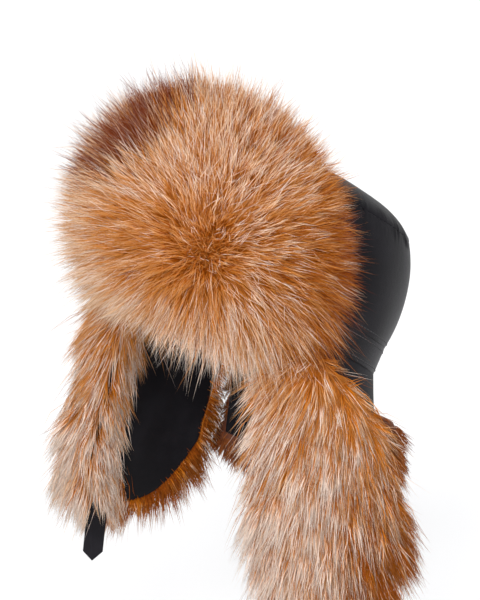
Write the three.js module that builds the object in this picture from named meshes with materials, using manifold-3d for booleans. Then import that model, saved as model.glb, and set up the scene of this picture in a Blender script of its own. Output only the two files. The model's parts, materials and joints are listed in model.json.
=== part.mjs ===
// Ushanka with a soft leather crown, a turned-up fur visor, hanging fur ear flaps and pointed ties.
// Millimetres. The wearer looks along -Y, the wearer's left is +X and +Z is up.
// The origin is the middle of the head opening, at the lower edge of the band.

import * as THREE from 'three';
import { mergeVertices } from 'three/addons/utils/BufferGeometryUtils.js';
import Module from 'manifold-3d';

const wasm = await Module();
wasm.setup();

const { degToRad, lerp } = THREE.MathUtils;

// Sizes of the leather
const LEATHER = 2.2;
const GAP = 0.3;
const BENT_GAP = 0.9;
const FINEST = 0.25;
const FUR_CLEAR = 4;
const BAND_HEIGHT = 22;
const CROWN_TILT = degToRad(25);
const TOP_SEAM_HEIGHT = 104;
const HEAD_ROOM = 60;

// How finely the forms are divided
const CROWN_COLUMNS = 40;
const BAND_ROWS = 2;
const SIDE_ROWS = 5;
const ROOM_ROWS = 10;
const ROOM_COLUMNS = 48;
const BALL_COLUMNS = 20;
const BALL_ROWS = 12;
const VISOR_GRID = [20, 5];
const FLAP_GRID = [10, 8];
const FLAP_ROOM_GRID = [12, 10];
const EAR_FUR_GRID = [6, 7];
const NAPE_GRID = [20, 5];
const NAPE_FUR_GRID = [14, 4];

// Outer sections of the crown, square to its own leaning axis, from the band's lower edge upwards.
// back is how far the middle of the section lies behind the axis.
const CROWN_SECTIONS = [
  { height: -12, halfWidth: 89, halfLength: 107, back: 0 },
  { height: 0, halfWidth: 90, halfLength: 108, back: 0 },
  { height: 22, halfWidth: 90, halfLength: 108, back: 0 },
  { height: 40, halfWidth: 92, halfLength: 110, back: -1 },
  { height: 62, halfWidth: 92, halfLength: 110, back: -3 },
  { height: 84, halfWidth: 89, halfLength: 106, back: -5 },
  { height: 104, halfWidth: 81, halfLength: 96, back: -8 },
];

// Section of the top panel, from its rim to its middle, as shares of the rim's size.
const TOP_SECTION = [
  { reach: 1, rise: 0 },
  { reach: 0.9, rise: 9 },
  { reach: 0.7, rise: 17 },
  { reach: 0.4, rise: 22 },
  { reach: 0, rise: 24 },
];

// Visor board
const VISOR_HEIGHT = 86;
const VISOR_END_HEIGHT = 52;
const VISOR_BOTTOM_HEIGHT = 1;
const VISOR_SPREAD = degToRad(68);
const VISOR_END_POWER = 3;

// The fur of the visor stands out all round from this place inside the front of the crown.
const VISOR_FUR_HEART = new THREE.Vector3(0, -60, 74);

// Reach of the visor's fur from its heart, by how steeply it points up.
const VISOR_FUR_REACH = [
  { slope: -90, front: 52, side: 66, rear: 40 },
  { slope: -55, front: 78, side: 106, rear: 44 },
  { slope: -25, front: 95, side: 131, rear: 52 },
  { slope: 0, front: 104, side: 135, rear: 60 },
  { slope: 30, front: 116, side: 128, rear: 80 },
  { slope: 60, front: 130, side: 124, rear: 112 },
  { slope: 90, front: 134, side: 134, rear: 134 },
];

// The visor's fur is a body at a share of its reach, with locks that leave it all round.
const VISOR_FUR = {
  bodyShare: 0.82,
  ways: 150,
  backmost: 0.35,
  lowest: -0.75,
  leastReach: 70,
  lockRoot: 0.66,
  lockLength: 0.33,
  lockRadius: 11,
  lockSag: 0.02,
  crownClear: 2.2 * BENT_GAP,
};

// Ear flaps, hanging from the band's lower edge
const FLAP_FRONT_ANGLE = degToRad(50);
const FLAP_BACK_ANGLE = degToRad(126);
const FLAP_FRONT_FACING = degToRad(62);
const FLAP_BACK_FACING = degToRad(112);
const FLAP_CORNER = 46;
const FLAP_CORNER_IN = 9;
const FLAP_CORNER_POWER = 2.6;
const FLAP_BOTTOM_FRONT = -77;
const FLAP_BOTTOM_BACK = 42;
const FLAP_BOTTOM_OUT = 93;
const FLAP_BELLY = 4;

// Fur of the ear flaps. Its edges are shares of the leather's width and length.
const EAR_FUR = {
  depth: 43,
  rimDepth: 5,
  topDepthShare: 0.82,
  sidePower: 4,
  endPower: 6,
  bodyShare: 0.8,
  frontEdge: -0.15,
  backEdgeTop: 1,
  backEdgeEnd: 1.14,
  topEdge: 0.04,
  topSlant: 0.2,
  topSlantPower: 1.5,
  endEdge: 1.1,
  rows: 6,
  columns: 5,
  stagger: 0.22,
  firstRow: 0.4,
  lockRoot: 0.62,
  lockFall: 0.16,
  lockSpread: 1.06,
  lockShift: -0.03,
  lockRadius: 8,
};

// What an ear flap's fur is kept out of reaches past the leather by these shares.
const FLAP_ROOM = { front: -0.25, back: 1.25, top: -0.1, end: 1.2 };

// Nape flap, between the ear flaps
const NAPE_FRONT_ANGLE = degToRad(126.5);
const NAPE_DROP = 92;
const NAPE_BARE = 27;
const NAPE_FLARE = 6;

// Fur of the nape flap
const NAPE_FUR = {
  depth: 26,
  rimDepth: 4,
  sidePower: 6,
  endPower: 4,
  endStretch: 1.5,
  endShift: -0.8,
  bodyShare: 0.75,
  sideEdge: 0.01,
  endEdge: 1.16,
  rows: 2,
  columns: 11,
  stagger: 0.2,
  lockRoot: 0.5,
  lockFall: 0.22,
  lockRadius: 7,
};

// A lock of fur is a pointed form, widest above its root.
const LOCK_SIDES = 4;
const LOCK_ROWS = 2;
const LOCK_SWELL = 1.5;
const STRAIGHT = new THREE.Vector3(0, 0, 0);

// Ties
const TIE_WIDTH = 16;
const TIE_LENGTH = 52;
const TIE_PLACE = 0.16;
const TIE_POINT = 8;
const TIE_THICKNESS = 2.4;
const TIE_TWIST = degToRad(48);
const TIE_STRAIGHT = 22;
const TIE_STEPS = 8;
const TIE_SEAT_SHARE = 1.1;

// The soft flaps hang a little apart: sway is how far back an end hangs, drop how low.
const SIDES = [
  { name: 'left', sign: 1, sway: 16, drop: 188 },
  { name: 'right', sign: -1, sway: -4, drop: 172 },
];

const FINISHES = {
  leather: { color: 0x232426, roughness: 0.5 },
  visorFur: { color: 0xb98552, roughness: 0.8 },
  earFur: { color: 0xbd8a54, roughness: 0.8 },
  napeFur: { color: 0x7c3f22, roughness: 0.8 },
  tie: { color: 0x1c1c1e, roughness: 0.5 },
};

// A curve through the rows of a table, giving every other column at a value of the first.
function tableCurve(rows, along) {
  const columns = Object.keys(rows[0]).filter((column) => column !== along);
  const places = rows.map((row) => row[along]);
  const values = rows.flatMap((row) => columns.map((column) => row[column]));
  const curve = new THREE.CubicInterpolant(places, values, columns.length);
  return (place) => {
    const found = curve.evaluate(place);
    return Object.fromEntries(columns.map((column, index) => [column, found[index]]));
  };
}

const crownSection = tableCurve(CROWN_SECTIONS, 'height');
const visorFurReach = tableCurve(VISOR_FUR_REACH, 'slope');

// Leans a point of the upright crown back onto the head.
function leanBack(point) {
  return point.applyAxisAngle(new THREE.Vector3(1, 0, 0), -CROWN_TILT);
}

// A point on the crown's outer face, moved outward: angle 0 is the front, a quarter turn the left.
function crownPoint(angle, height, outward = 0) {
  const section = crownSection(height);
  return leanBack(new THREE.Vector3(
    (section.halfWidth + outward) * Math.sin(angle),
    section.back - (section.halfLength + outward) * Math.cos(angle),
    height,
  ));
}

// Moves every vertex of a geometry by a function of its place.
function mapped(geometry, place) {
  const position = geometry.attributes.position;
  const point = new THREE.Vector3();
  for (let index = 0; index < position.count; index += 1) {
    const { x, y, z } = place(point.fromBufferAttribute(position, index).clone());
    position.setXYZ(index, x, y, z);
  }
  return closedForm(geometry);
}

// Keeps the positions alone, joins shared corners and turns the faces outward.
function closedForm(geometry) {
  geometry.deleteAttribute('normal');
  geometry.deleteAttribute('uv');
  const merged = mergeVertices(geometry, 1e-3);
  const corners = merged.index.array;
  const kept = [];
  for (let at = 0; at < corners.length; at += 3) {
    const [a, b, c] = [corners[at], corners[at + 1], corners[at + 2]];
    if (a !== b && b !== c && c !== a) kept.push(a, b, c);
  }
  if (signedVolume(merged.attributes.position, kept) < 0) kept.reverse();
  merged.setIndex(kept);
  return merged;
}

function signedVolume(position, corners) {
  const [a, b, c] = [new THREE.Vector3(), new THREE.Vector3(), new THREE.Vector3()];
  let sum = 0;
  for (let at = 0; at < corners.length; at += 3) {
    a.fromBufferAttribute(position, corners[at]);
    b.fromBufferAttribute(position, corners[at + 1]);
    c.fromBufferAttribute(position, corners[at + 2]);
    sum += a.dot(b.cross(c)) / 6;
  }
  return sum;
}

function toSolid(geometry) {
  return new wasm.Manifold(new wasm.Mesh({
    numProp: 3,
    vertProperties: new Float32Array(geometry.attributes.position.array),
    triVerts: new Uint32Array(geometry.index.array),
  }));
}

// Cuts shorter than FINEST are smoothed away, and offcuts and shut pockets are dropped.
function toGeometry(solid) {
  const mesh = withoutOffcuts(solid.simplify(FINEST)).getMesh();
  const geometry = new THREE.BufferGeometry();
  geometry.setAttribute('position', new THREE.BufferAttribute(mesh.vertProperties, 3));
  geometry.setIndex(new THREE.BufferAttribute(mesh.triVerts, 1));
  return geometry;
}

function piece(name, geometry, finish) {
  const material = new THREE.MeshStandardMaterial({ ...finish, metalness: 0, flatShading: true });
  const mesh = new THREE.Mesh(geometry, material);
  mesh.name = name;
  return mesh;
}

// A closed ring of leather between two heights of the crown.
function crownRing(bottom, top, rows) {
  const outerRadius = 2;
  const innerRadius = 1;
  const heights = Array.from({ length: rows + 1 }, (_, row) => lerp(bottom, top, row / rows));
  const profile = heights.map((height) => new THREE.Vector2(outerRadius, height));
  profile.push(...heights.reverse().map((height) => new THREE.Vector2(innerRadius, height)));
  profile.push(profile[0].clone());
  return mapped(new THREE.LatheGeometry(profile, CROWN_COLUMNS), ({ x, y, z }) => {
    const inner = Math.hypot(x, z) < lerp(innerRadius, outerRadius, 0.5);
    return crownPoint(Math.atan2(x, z), y, inner ? -LEATHER : 0);
  });
}

// The domed top panel, with its rim on the top seam.
function crownTop() {
  const rim = crownSection(TOP_SEAM_HEIGHT);
  const innerShare = 1 - LEATHER / rim.halfWidth;
  const outer = TOP_SECTION.map(({ reach, rise }) => new THREE.Vector2(reach, rise));
  const inner = TOP_SECTION.map(({ reach, rise }) => (
    new THREE.Vector2(reach * innerShare, rise - LEATHER * (1 - reach))
  )).reverse();
  const profile = [...outer, ...inner, outer[0].clone()];
  return mapped(new THREE.LatheGeometry(profile, CROWN_COLUMNS), ({ x, y, z }) => leanBack(new THREE.Vector3(
    rim.halfWidth * x,
    rim.back - rim.halfLength * z,
    TOP_SEAM_HEIGHT + GAP + y,
  )));
}

// A sheet between two faces: place gets across and down from 0 to 1, and side 0 or 1.
function sheet([columns, rows], place) {
  return mapped(new THREE.BoxGeometry(1, 1, 1, columns, rows, 1), ({ x, y, z }) => (
    place(x + 0.5, 0.5 - y, z > 0 ? 1 : 0)
  ));
}

// Height of the visor board, lower towards its ends.
function visorTop(angle) {
  const share = Math.abs(angle) / VISOR_SPREAD;
  return lerp(VISOR_HEIGHT, VISOR_END_HEIGHT, share ** VISOR_END_POWER);
}

function visorBoard() {
  return sheet(VISOR_GRID, (across, down, side) => {
    const angle = lerp(-VISOR_SPREAD, VISOR_SPREAD, across);
    const height = lerp(visorTop(angle), VISOR_BOTTOM_HEIGHT, down);
    return crownPoint(angle, height, BENT_GAP + side * LEATHER);
  });
}

// Reach of the visor's fur in a direction from its heart.
function furReach(direction) {
  const slope = Math.asin(THREE.MathUtils.clamp(direction.z, -1, 1));
  const reach = visorFurReach(THREE.MathUtils.radToDeg(slope));
  const level = Math.hypot(direction.x, direction.y) || 1;
  const ahead = -direction.y / level;
  const toSide = 1 - ahead * ahead;
  const end = ahead > 0 ? reach.front : reach.rear;
  return lerp(end, reach.side, toSide);
}

// The whole reach of the visor's fur as a closed form, smaller or larger by a share and an amount.
function furBall(share, extra) {
  return mapped(new THREE.SphereGeometry(1, BALL_COLUMNS, BALL_ROWS), (direction) => {
    const reach = furReach(direction) * share + extra;
    return direction.multiplyScalar(reach).add(VISOR_FUR_HEART);
  });
}

// The leather crown and the head's room in it as one solid, which the fur stays clear of.
function crownRoom(outward, bottom) {
  const profile = [new THREE.Vector2(0, bottom), new THREE.Vector2(1, bottom)];
  for (let row = 0; row <= ROOM_ROWS; row += 1) {
    profile.push(new THREE.Vector2(1, lerp(0, TOP_SEAM_HEIGHT, row / ROOM_ROWS)));
  }
  for (const { reach, rise } of TOP_SECTION.slice(1)) {
    profile.push(new THREE.Vector2(reach, TOP_SEAM_HEIGHT + rise + outward));
  }
  return toSolid(mapped(new THREE.LatheGeometry(profile, ROOM_COLUMNS), ({ x, y, z }) => {
    const reach = Math.hypot(x, z);
    const point = crownPoint(Math.atan2(x, z), Math.min(y, TOP_SEAM_HEIGHT), outward);
    const middle = leanBack(new THREE.Vector3(0, crownSection(Math.min(y, TOP_SEAM_HEIGHT)).back, 0));
    const height = leanBack(new THREE.Vector3(0, 0, y));
    const level = leanBack(new THREE.Vector3(0, 0, Math.min(y, TOP_SEAM_HEIGHT)));
    return point.sub(level).sub(middle).multiplyScalar(reach).add(middle).add(height);
  }));
}

// One pointed lock that leaves its root along one way and bends towards another.
function lock(root, way, bend, length, radius) {
  const cone = new THREE.ConeGeometry(1, 1, LOCK_SIDES, LOCK_ROWS);
  const turn = new THREE.Quaternion().setFromUnitVectors(new THREE.Vector3(0, 1, 0), way);
  return mapped(cone, ({ x, y, z }) => {
    const along = y + 0.5;
    const swell = along > 0.1 && along < 0.9 ? LOCK_SWELL : 1;
    const around = new THREE.Vector3(x * radius * swell, 0, z * radius * swell).applyQuaternion(turn);
    return root.clone()
      .addScaledVector(way, along * length)
      .addScaledVector(bend, along * along * length)
      .add(around);
  });
}

function lockBetween(root, tip, radius) {
  const reach = tip.clone().sub(root);
  const length = reach.length();
  return lock(root, reach.normalize(), STRAIGHT, length, radius);
}

// Places of the locks on a flap, in rows that are set over by turns.
function lockPlaces(rows, columns, stagger, firstRow) {
  return Array.from({ length: rows * columns }, (_, index) => {
    const row = Math.floor(index / columns);
    const shift = row % 2 ? stagger : -stagger;
    return { across: (index % columns + 0.5 + shift) / columns, down: (row + firstRow) / rows };
  });
}

function fuse(solids) {
  return solids.reduce((whole, solid) => whole.add(solid));
}

// The biggest body that a cut leaves.
function withoutOffcuts(solid) {
  return solid.decompose().reduce((biggest, body) => (body.volume() > biggest.volume() ? body : biggest));
}

// Ways spread evenly over a ball by the golden angle.
function spreadWays(count) {
  const goldenAngle = Math.PI * (3 - Math.sqrt(5));
  return Array.from({ length: count }, (_, index) => {
    const z = 1 - (2 * index + 1) / count;
    const level = Math.sqrt(1 - z * z);
    const turn = index * goldenAngle;
    return new THREE.Vector3(level * Math.cos(turn), level * Math.sin(turn), z);
  });
}

function visorFur() {
  const {
    bodyShare, ways, backmost, lowest, leastReach, lockRoot, lockLength, lockRadius, lockSag, crownClear,
  } = VISOR_FUR;
  const sag = new THREE.Vector3(0, 0, -lockSag);
  const locks = spreadWays(ways)
    .filter((way) => way.y < backmost && way.z > lowest && furReach(way) > leastReach)
    .map((way) => {
      const reach = furReach(way);
      const root = way.clone().multiplyScalar(reach * lockRoot).add(VISOR_FUR_HEART);
      return toSolid(lock(root, way, sag, reach * lockLength, lockRadius));
    });
  const whole = fuse([toSolid(furBall(bodyShare, 0)), ...locks]);
  return toGeometry(whole.subtract(crownRoom(LEATHER + crownClear, -HEAD_ROOM)));
}

// The way that an ear flap faces at its lower end, turned from the front.
function flapFacing(across) {
  return lerp(FLAP_FRONT_FACING, FLAP_BACK_FACING, across);
}

// A point on the inner face of an ear flap, moved outward. across runs from the front edge
// to the back edge, down from the band to the flap's lower end.
function flapPoint({ sign, sway, drop }, across, down, outward) {
  const angle = lerp(FLAP_FRONT_ANGLE, FLAP_BACK_ANGLE, across);
  const top = crownPoint(angle, -GAP, outward - LEATHER);
  const facing = flapFacing(across);
  const corner = Math.abs(2 * across - 1) ** FLAP_CORNER_POWER;
  const bottom = new THREE.Vector3(
    FLAP_BOTTOM_OUT - FLAP_CORNER_IN * corner + outward * Math.sin(facing),
    lerp(FLAP_BOTTOM_FRONT, FLAP_BOTTOM_BACK, across) + sway - outward * Math.cos(facing),
    -drop + FLAP_CORNER * corner,
  );
  const point = top.lerp(bottom, down);
  point.x += FLAP_BELLY * Math.sin(Math.PI * down);
  point.x *= sign;
  return point;
}

function earFlap(side) {
  return sheet(FLAP_GRID, (across, down, face) => flapPoint(side, across, down, face * LEATHER));
}

// Depth of an ear flap's fur, full in the middle and falling away at the edges.
function earFurDepth(across, down) {
  const { depth, rimDepth, topDepthShare, sidePower, endPower } = EAR_FUR;
  const edge = (1 - (2 * across - 1) ** sidePower) * (1 - (2 * down - 1) ** endPower);
  return rimDepth + depth * Math.sqrt(Math.max(0, edge)) * lerp(topDepthShare, 1, down);
}

// What lies behind an ear flap's fur: the flap's leather and the room on its inner side.
function flapRoom(side) {
  const { front, back, top, end } = FLAP_ROOM;
  return toSolid(sheet(FLAP_ROOM_GRID, (across, down, face) => (
    flapPoint(side, lerp(front, back, across), lerp(top, end, down), face ? LEATHER + BENT_GAP : -LEATHER)
  )));
}

// A point of an ear flap's fur, which reaches past the leather at the edges and the end.
function earFurPoint(side, across, down, share) {
  const outward = LEATHER + share * earFurDepth(across, down);
  const topEdge = EAR_FUR.topEdge + EAR_FUR.topSlant * across ** EAR_FUR.topSlantPower;
  const backEdge = lerp(EAR_FUR.backEdgeTop, EAR_FUR.backEdgeEnd, down);
  const from = lerp(EAR_FUR.frontEdge, backEdge, across);
  return flapPoint(side, from, lerp(topEdge, EAR_FUR.endEdge, down), outward);
}

function earFur(side) {
  const {
    bodyShare, rows, columns, stagger, firstRow, lockRoot, lockFall, lockSpread, lockShift, lockRadius,
  } = EAR_FUR;
  const body = toSolid(sheet(EAR_FUR_GRID, (across, down, face) => (
    earFurPoint(side, across, down, face * bodyShare)
  )));
  const locks = lockPlaces(rows, columns, stagger, firstRow).map(({ across, down }) => {
    const root = earFurPoint(side, across, down, lockRoot);
    const tip = earFurPoint(side, across * lockSpread + lockShift, down + lockFall, 1);
    return toSolid(lockBetween(root, tip, lockRadius));
  });
  const clearOfVisor = toSolid(furBall(1, FUR_CLEAR));
  const whole = fuse([body, ...locks]);
  const rooms = [clearOfVisor, crownRoom(BENT_GAP, -GAP), flapRoom(side), toSolid(tie(side, BENT_GAP))];
  return toGeometry(rooms.reduce((left, room) => left.subtract(room), whole));
}

// A point on the inner face of the nape flap, moved outward.
function napePoint(across, down, outward) {
  const angle = lerp(NAPE_FRONT_ANGLE, 2 * Math.PI - NAPE_FRONT_ANGLE, across);
  const point = crownPoint(angle, -GAP, outward - LEATHER + NAPE_FLARE * down);
  point.z -= NAPE_DROP * down;
  return point;
}

function napeFlap() {
  return sheet(NAPE_GRID, (across, down, face) => napePoint(across, down, face * LEATHER));
}

function napeFurPoint(across, down, share) {
  const { depth, rimDepth, sidePower, endPower, endStretch, endShift, sideEdge, endEdge } = NAPE_FUR;
  const fromSide = Math.sqrt(1 - (2 * across - 1) ** sidePower);
  const fromEnd = Math.sqrt(Math.max(0, 1 - (endStretch * down + endShift) ** endPower));
  const outward = LEATHER + GAP + share * (rimDepth + depth * fromSide * fromEnd);
  return napePoint(lerp(sideEdge, 1 - sideEdge, across), lerp(NAPE_BARE / NAPE_DROP, endEdge, down), outward);
}

function napeFur() {
  const { bodyShare, rows, columns, stagger, lockRoot, lockFall, lockRadius } = NAPE_FUR;
  const body = toSolid(sheet(NAPE_FUR_GRID, (across, down, face) => (
    napeFurPoint(across, down, face * bodyShare)
  )));
  const locks = lockPlaces(rows, columns, stagger, 0.5).map(({ across, down }) => {
    const root = napeFurPoint(across, down, lockRoot);
    return toSolid(lockBetween(root, napeFurPoint(across, down + lockFall, 1), lockRadius));
  });
  return toGeometry(fuse([body, ...locks]));
}

// A flat strap with a pointed end, hanging from the end of a flap and turning as it falls.
function tie(side, grown = 0) {
  const half = TIE_WIDTH / 2 + grown;
  const thickness = TIE_THICKNESS + 2 * grown;
  const straight = TIE_LENGTH - TIE_POINT;
  const drops = Array.from({ length: TIE_STEPS + 1 }, (_, step) => straight * step / TIE_STEPS);
  const outline = new THREE.Shape();
  outline.moveTo(-half, 2 * grown);
  for (const drop of drops.slice(1)) outline.lineTo(-half, -drop);
  outline.lineTo(0, -TIE_LENGTH - grown);
  for (const drop of drops.slice(1).reverse()) outline.lineTo(half, -drop);
  outline.lineTo(half, 2 * grown);
  const strap = new THREE.ExtrudeGeometry(outline, { depth: thickness, bevelEnabled: false });
  const seat = flapPoint(side, TIE_PLACE, 1, LEATHER / 2);
  const reach = TIE_SEAT_SHARE * half / (FLAP_BOTTOM_BACK - FLAP_BOTTOM_FRONT);
  seat.z = Math.min(...[-reach, 0, reach].map((shift) => flapPoint(side, TIE_PLACE + shift, 1, 0).z));
  return mapped(strap, ({ x, y, z }) => {
    const twist = TIE_TWIST * Math.max(0, (-y - TIE_STRAIGHT) / (TIE_LENGTH - TIE_STRAIGHT));
    const facing = flapFacing(TIE_PLACE) + twist;
    const across = new THREE.Vector3(side.sign * Math.cos(facing), Math.sin(facing), 0);
    const out = new THREE.Vector3(side.sign * Math.sin(facing), -Math.cos(facing), 0);
    return seat.clone()
      .addScaledVector(across, x)
      .addScaledVector(out, z - thickness / 2)
      .add(new THREE.Vector3(0, 0, y - GAP));
  });
}

const ushanka = new THREE.Group();
ushanka.name = 'ushanka';

const { leather } = FINISHES;
const bandTop = BAND_HEIGHT - GAP / 2;
ushanka.add(piece('crown_band', crownRing(0, bandTop, BAND_ROWS), leather));
ushanka.add(piece('crown_side', crownRing(bandTop + GAP, TOP_SEAM_HEIGHT, SIDE_ROWS), leather));
ushanka.add(piece('crown_top', crownTop(), leather));
ushanka.add(piece('visor', visorBoard(), leather));
ushanka.add(piece('visor_fur', visorFur(), FINISHES.visorFur));
for (const side of SIDES) {
  ushanka.add(piece(`ear_flap_${side.name}`, earFlap(side), leather));
  ushanka.add(piece(`ear_fur_${side.name}`, earFur(side), FINISHES.earFur));
  ushanka.add(piece(`tie_${side.name}`, tie(side), FINISHES.tie));
}
ushanka.add(piece('nape_flap', napeFlap(), leather));
ushanka.add(piece('nape_fur', napeFur(), FINISHES.napeFur));

export default ushanka;
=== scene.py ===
"""Dresses the solids of an ushanka in satin leather and long fox fur, and sets it in a studio."""

import json
import math

import bmesh
import bpy
import numpy as np
from mathutils import Matrix, Vector
from mathutils.bvhtree import BVHTree

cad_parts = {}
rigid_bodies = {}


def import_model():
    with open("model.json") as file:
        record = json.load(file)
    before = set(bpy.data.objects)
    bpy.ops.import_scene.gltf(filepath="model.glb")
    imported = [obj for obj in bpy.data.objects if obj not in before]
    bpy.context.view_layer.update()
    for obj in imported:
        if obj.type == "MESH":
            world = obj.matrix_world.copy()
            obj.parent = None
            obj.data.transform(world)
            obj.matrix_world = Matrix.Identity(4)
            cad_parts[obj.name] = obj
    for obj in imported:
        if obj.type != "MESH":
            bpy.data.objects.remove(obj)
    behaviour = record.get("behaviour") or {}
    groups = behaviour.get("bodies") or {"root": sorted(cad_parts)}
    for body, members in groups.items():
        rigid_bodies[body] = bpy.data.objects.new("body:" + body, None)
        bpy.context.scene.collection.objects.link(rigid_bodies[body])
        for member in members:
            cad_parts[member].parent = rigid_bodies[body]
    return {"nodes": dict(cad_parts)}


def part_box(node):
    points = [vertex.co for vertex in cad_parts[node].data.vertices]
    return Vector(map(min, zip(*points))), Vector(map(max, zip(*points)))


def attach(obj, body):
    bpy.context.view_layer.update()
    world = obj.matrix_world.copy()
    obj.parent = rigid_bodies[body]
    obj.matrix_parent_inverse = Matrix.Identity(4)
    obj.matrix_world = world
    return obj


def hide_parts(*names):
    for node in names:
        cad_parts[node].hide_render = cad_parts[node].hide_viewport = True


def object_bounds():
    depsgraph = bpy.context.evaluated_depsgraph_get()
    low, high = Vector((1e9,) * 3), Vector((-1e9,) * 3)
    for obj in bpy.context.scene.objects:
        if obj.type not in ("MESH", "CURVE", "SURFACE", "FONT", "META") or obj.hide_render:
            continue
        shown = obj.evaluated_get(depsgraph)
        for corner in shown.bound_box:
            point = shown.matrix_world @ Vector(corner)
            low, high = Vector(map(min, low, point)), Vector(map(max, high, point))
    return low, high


bl_info = {
    "name": "Fox fur ushanka",
    "version": (1, 0, 0),
    "blender": (4, 5, 0),
    "location": "View3D > Sidebar > Ushanka",
    "description": "Leather, fur and studio for the solids of an ushanka",
    "category": "Object",
}

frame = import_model()
CAD_BOX = [[float(value) for value in corner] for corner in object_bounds()]

MM = 0.001
BODY = "root"
HAIR_MAP = "OFBake"
DOWN = np.array([0, 0, -1.0])
TINY = 1e-9
SLIVER = 1e-12
SHORTEST_STEP = 0.01 * MM


def table(columns, *rows):
    """The rows of a table, with names for its columns."""
    return [dict(zip(columns.split(), row)) for row in rows]


def by_name(rows):
    return {row["name"]: row for row in rows}


def read_off(rows, by, at):
    """Lengths in metres from a table in mm, between its rows, where the column by is at a value."""
    places = [row[by] for row in rows]
    return [np.interp(at, places, [row[key] * MM for row in rows]) for key in rows[0] if key != by]


# Leather crown, as in the solids: sections square to its leaning axis in mm, from its lower edge upwards.
LEATHER = 2.2 * MM
SEAM_LAP = 0.5 * MM
CROWN_TILT = math.radians(25)
BAND_HEIGHT = 22 * MM
TOP_SEAM_HEIGHT = 104 * MM
CROWN_COLUMNS = 64
EDGE_LOOP = 1.4 * MM
MERGED = 0.02 * MM
CROWN_SECTIONS = table(
    "height half_width half_length back",
    (0, 90, 108, 0),
    (22, 90, 108, 0),
    (31, 91.2, 109.2, -0.5),
    (40, 92, 110, -1),
    (51, 92.3, 110.4, -2),
    (62, 92, 110, -3),
    (73, 91, 108.5, -4),
    (84, 89, 106, -5),
    (94, 85.8, 101.8, -6.3),
    (104, 81, 96, -8),
)

# Top panel, from its rim to its middle, as shares of the rim's size and a rise in mm.
TOP_SECTION = table(
    "reach rise",
    (1.0, 0),
    (0.985, 3.2),
    (0.9, 9),
    (0.7, 17),
    (0.4, 22),
    (0.16, 23.6),
)

# Gathers at the top seam: how many go round, how they sway and swell, and how far down they run.
GATHERS = {"count": 97, "sway": 1.7, "sways": 9, "swell": 0.4, "swells": 23, "down": 7 * MM}

# Soft dents in the wall below: how many go round, their height and depth, and the radius in which
# they fade.
DENTS = {"count": 5, "height": 17 * MM, "depth": 0.7 * MM, "fade": 60 * MM}

# Band seams: two rows of stitches near its upper edge and one above its lower fold, in mm.
STITCH_ROWS = table("height start", (18.6, 0.0), (25.4, 0.5), (3.6, 0.25))
STITCH = {"radius": 0.36 * MM, "pitch": 1.35, "proud": 0.12 * MM}

# The flaps' upper edges, sewn to the band: what is this near to it is drawn into it by a lap.
SEWN = {"within": 2 * MM, "lap": 1.1 * MM}

# How a tie's solid turns below its straight part, and how the strap turns.
TIE = {"straight": 22 * MM, "length": 52 * MM, "solid_turn": math.radians(48),
       "turn": math.radians(52), "turned_by": 14 * MM, "edge": 0.5 * MM}

# The visor's fur stands out all round from a heart inside the front of the crown. It is laid away
# from a whorl, less near to it, in its calm.
FUR_HEART = np.array(Vector((0, -60 * MM, 74 * MM)))
WHORL = np.array(Vector((0.635, -0.78, -0.02)).normalized())
WHORL_CALM = 0.25

# How the visor's hair falls more at its lower sides: by how much, and from which slope on in full.
OVERHANG = {"fall": 1.1, "in_full": -0.625}

# Reach of the visor's fur from its heart in mm, by how steeply it points up.
FUR_REACH = table(
    "slope front side rear",
    (-90, 52, 66, 40),
    (-55, 77, 100, 44),
    (-25, 92, 124, 52),
    (0, 101, 129, 58),
    (30, 113, 122, 68),
    (60, 128, 122, 94),
    (90, 122, 122, 122),
)

# How much less it reaches low on the right, and the shares of the furs' depth that are underfur.
LOW_RIGHT_LESS = 0.22
VISOR_UNDERFUR = 0.78
EAR_UNDERFUR = 0.84

# How much the visor's hair differs from its usual length, as shares of that.
VISOR_LENGTHS = {"at_crown": -0.45, "on_top": -0.2, "over_ears": 0.35}

# Half the width of the middle piece of the visor's hair.
VISOR_THIRD = 42 * MM

# How far the ear fur's front and back edges shift backwards and its top rises in mm, by its depth.
EAR_SHIFTS = table(
    "depth front back rise",
    (0, 12, -14, 16),
    (0.3, 9, -26, 0),
    (0.45, 8, -14, 0),
    (0.6, 7, 4, 0),
    (0.75, 6, 18, 0),
    (1, 6, 26, 0),
)

# Fur this near to its leather stays sewn to it, and fur past the second gap is free to move.
SEWN_FUR = 1.5 * MM
FREE_FUR = {"ear": 10.5 * MM, "nape": 9.5 * MM}

# How far a drawn-up hem rises, and the depth at which it starts to.
HEM_RISE = 36 * MM
LOWER_THIRD = 2 / 3

# The fan in which the ear's hair lies: its spring along the flap and above it, and its bend backwards.
EAR_FAN = {"along": 0.45, "above": 34 * MM, "bend": 0.4, "curve": 1.5}

# Length of the ear's guard hair at the top, and what is added to it low down and low at the back.
EAR_LENGTH = {"top": 40 * MM, "low": 10 * MM, "low_back": 8 * MM}

# Soft swells over all underfur.
UNEVEN = {"height": 0.6 * MM, "size": 21 * MM}

# Hair that wraps round onto a flap's inner face: its widths and lengths, and how its places face.
FOLD = {"front": 26 * MM, "behind": 5 * MM, "front_hair": 34 * MM, "hair": 20 * MM,
        "front_facing": -0.3, "inner_facing": -0.6, "top_facing": 0.6}

# The nape's fur, which bulges beside its middle.
NAPE_MIDDLE = np.array([0, 20 * MM, 0])
NAPE_BULGE = np.array([0.12, -0.01, 0])

# Where hair grows: how far outwards a face looks there, as a cosine, and how far it is off the leather.
OUTER_FACE = {"visor": 0.1, "ear": -0.2, "nape": -0.1}
OFF_LEATHER = {"ear": 1.6 * MM, "nape": 1.8 * MM}

# Room for hair round the solids, as a share of their size and a width, and the least of a hair left.
FUR_ROOM = {"share": 0.028, "fixed": 9 * MM, "least": 0.2}

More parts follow.
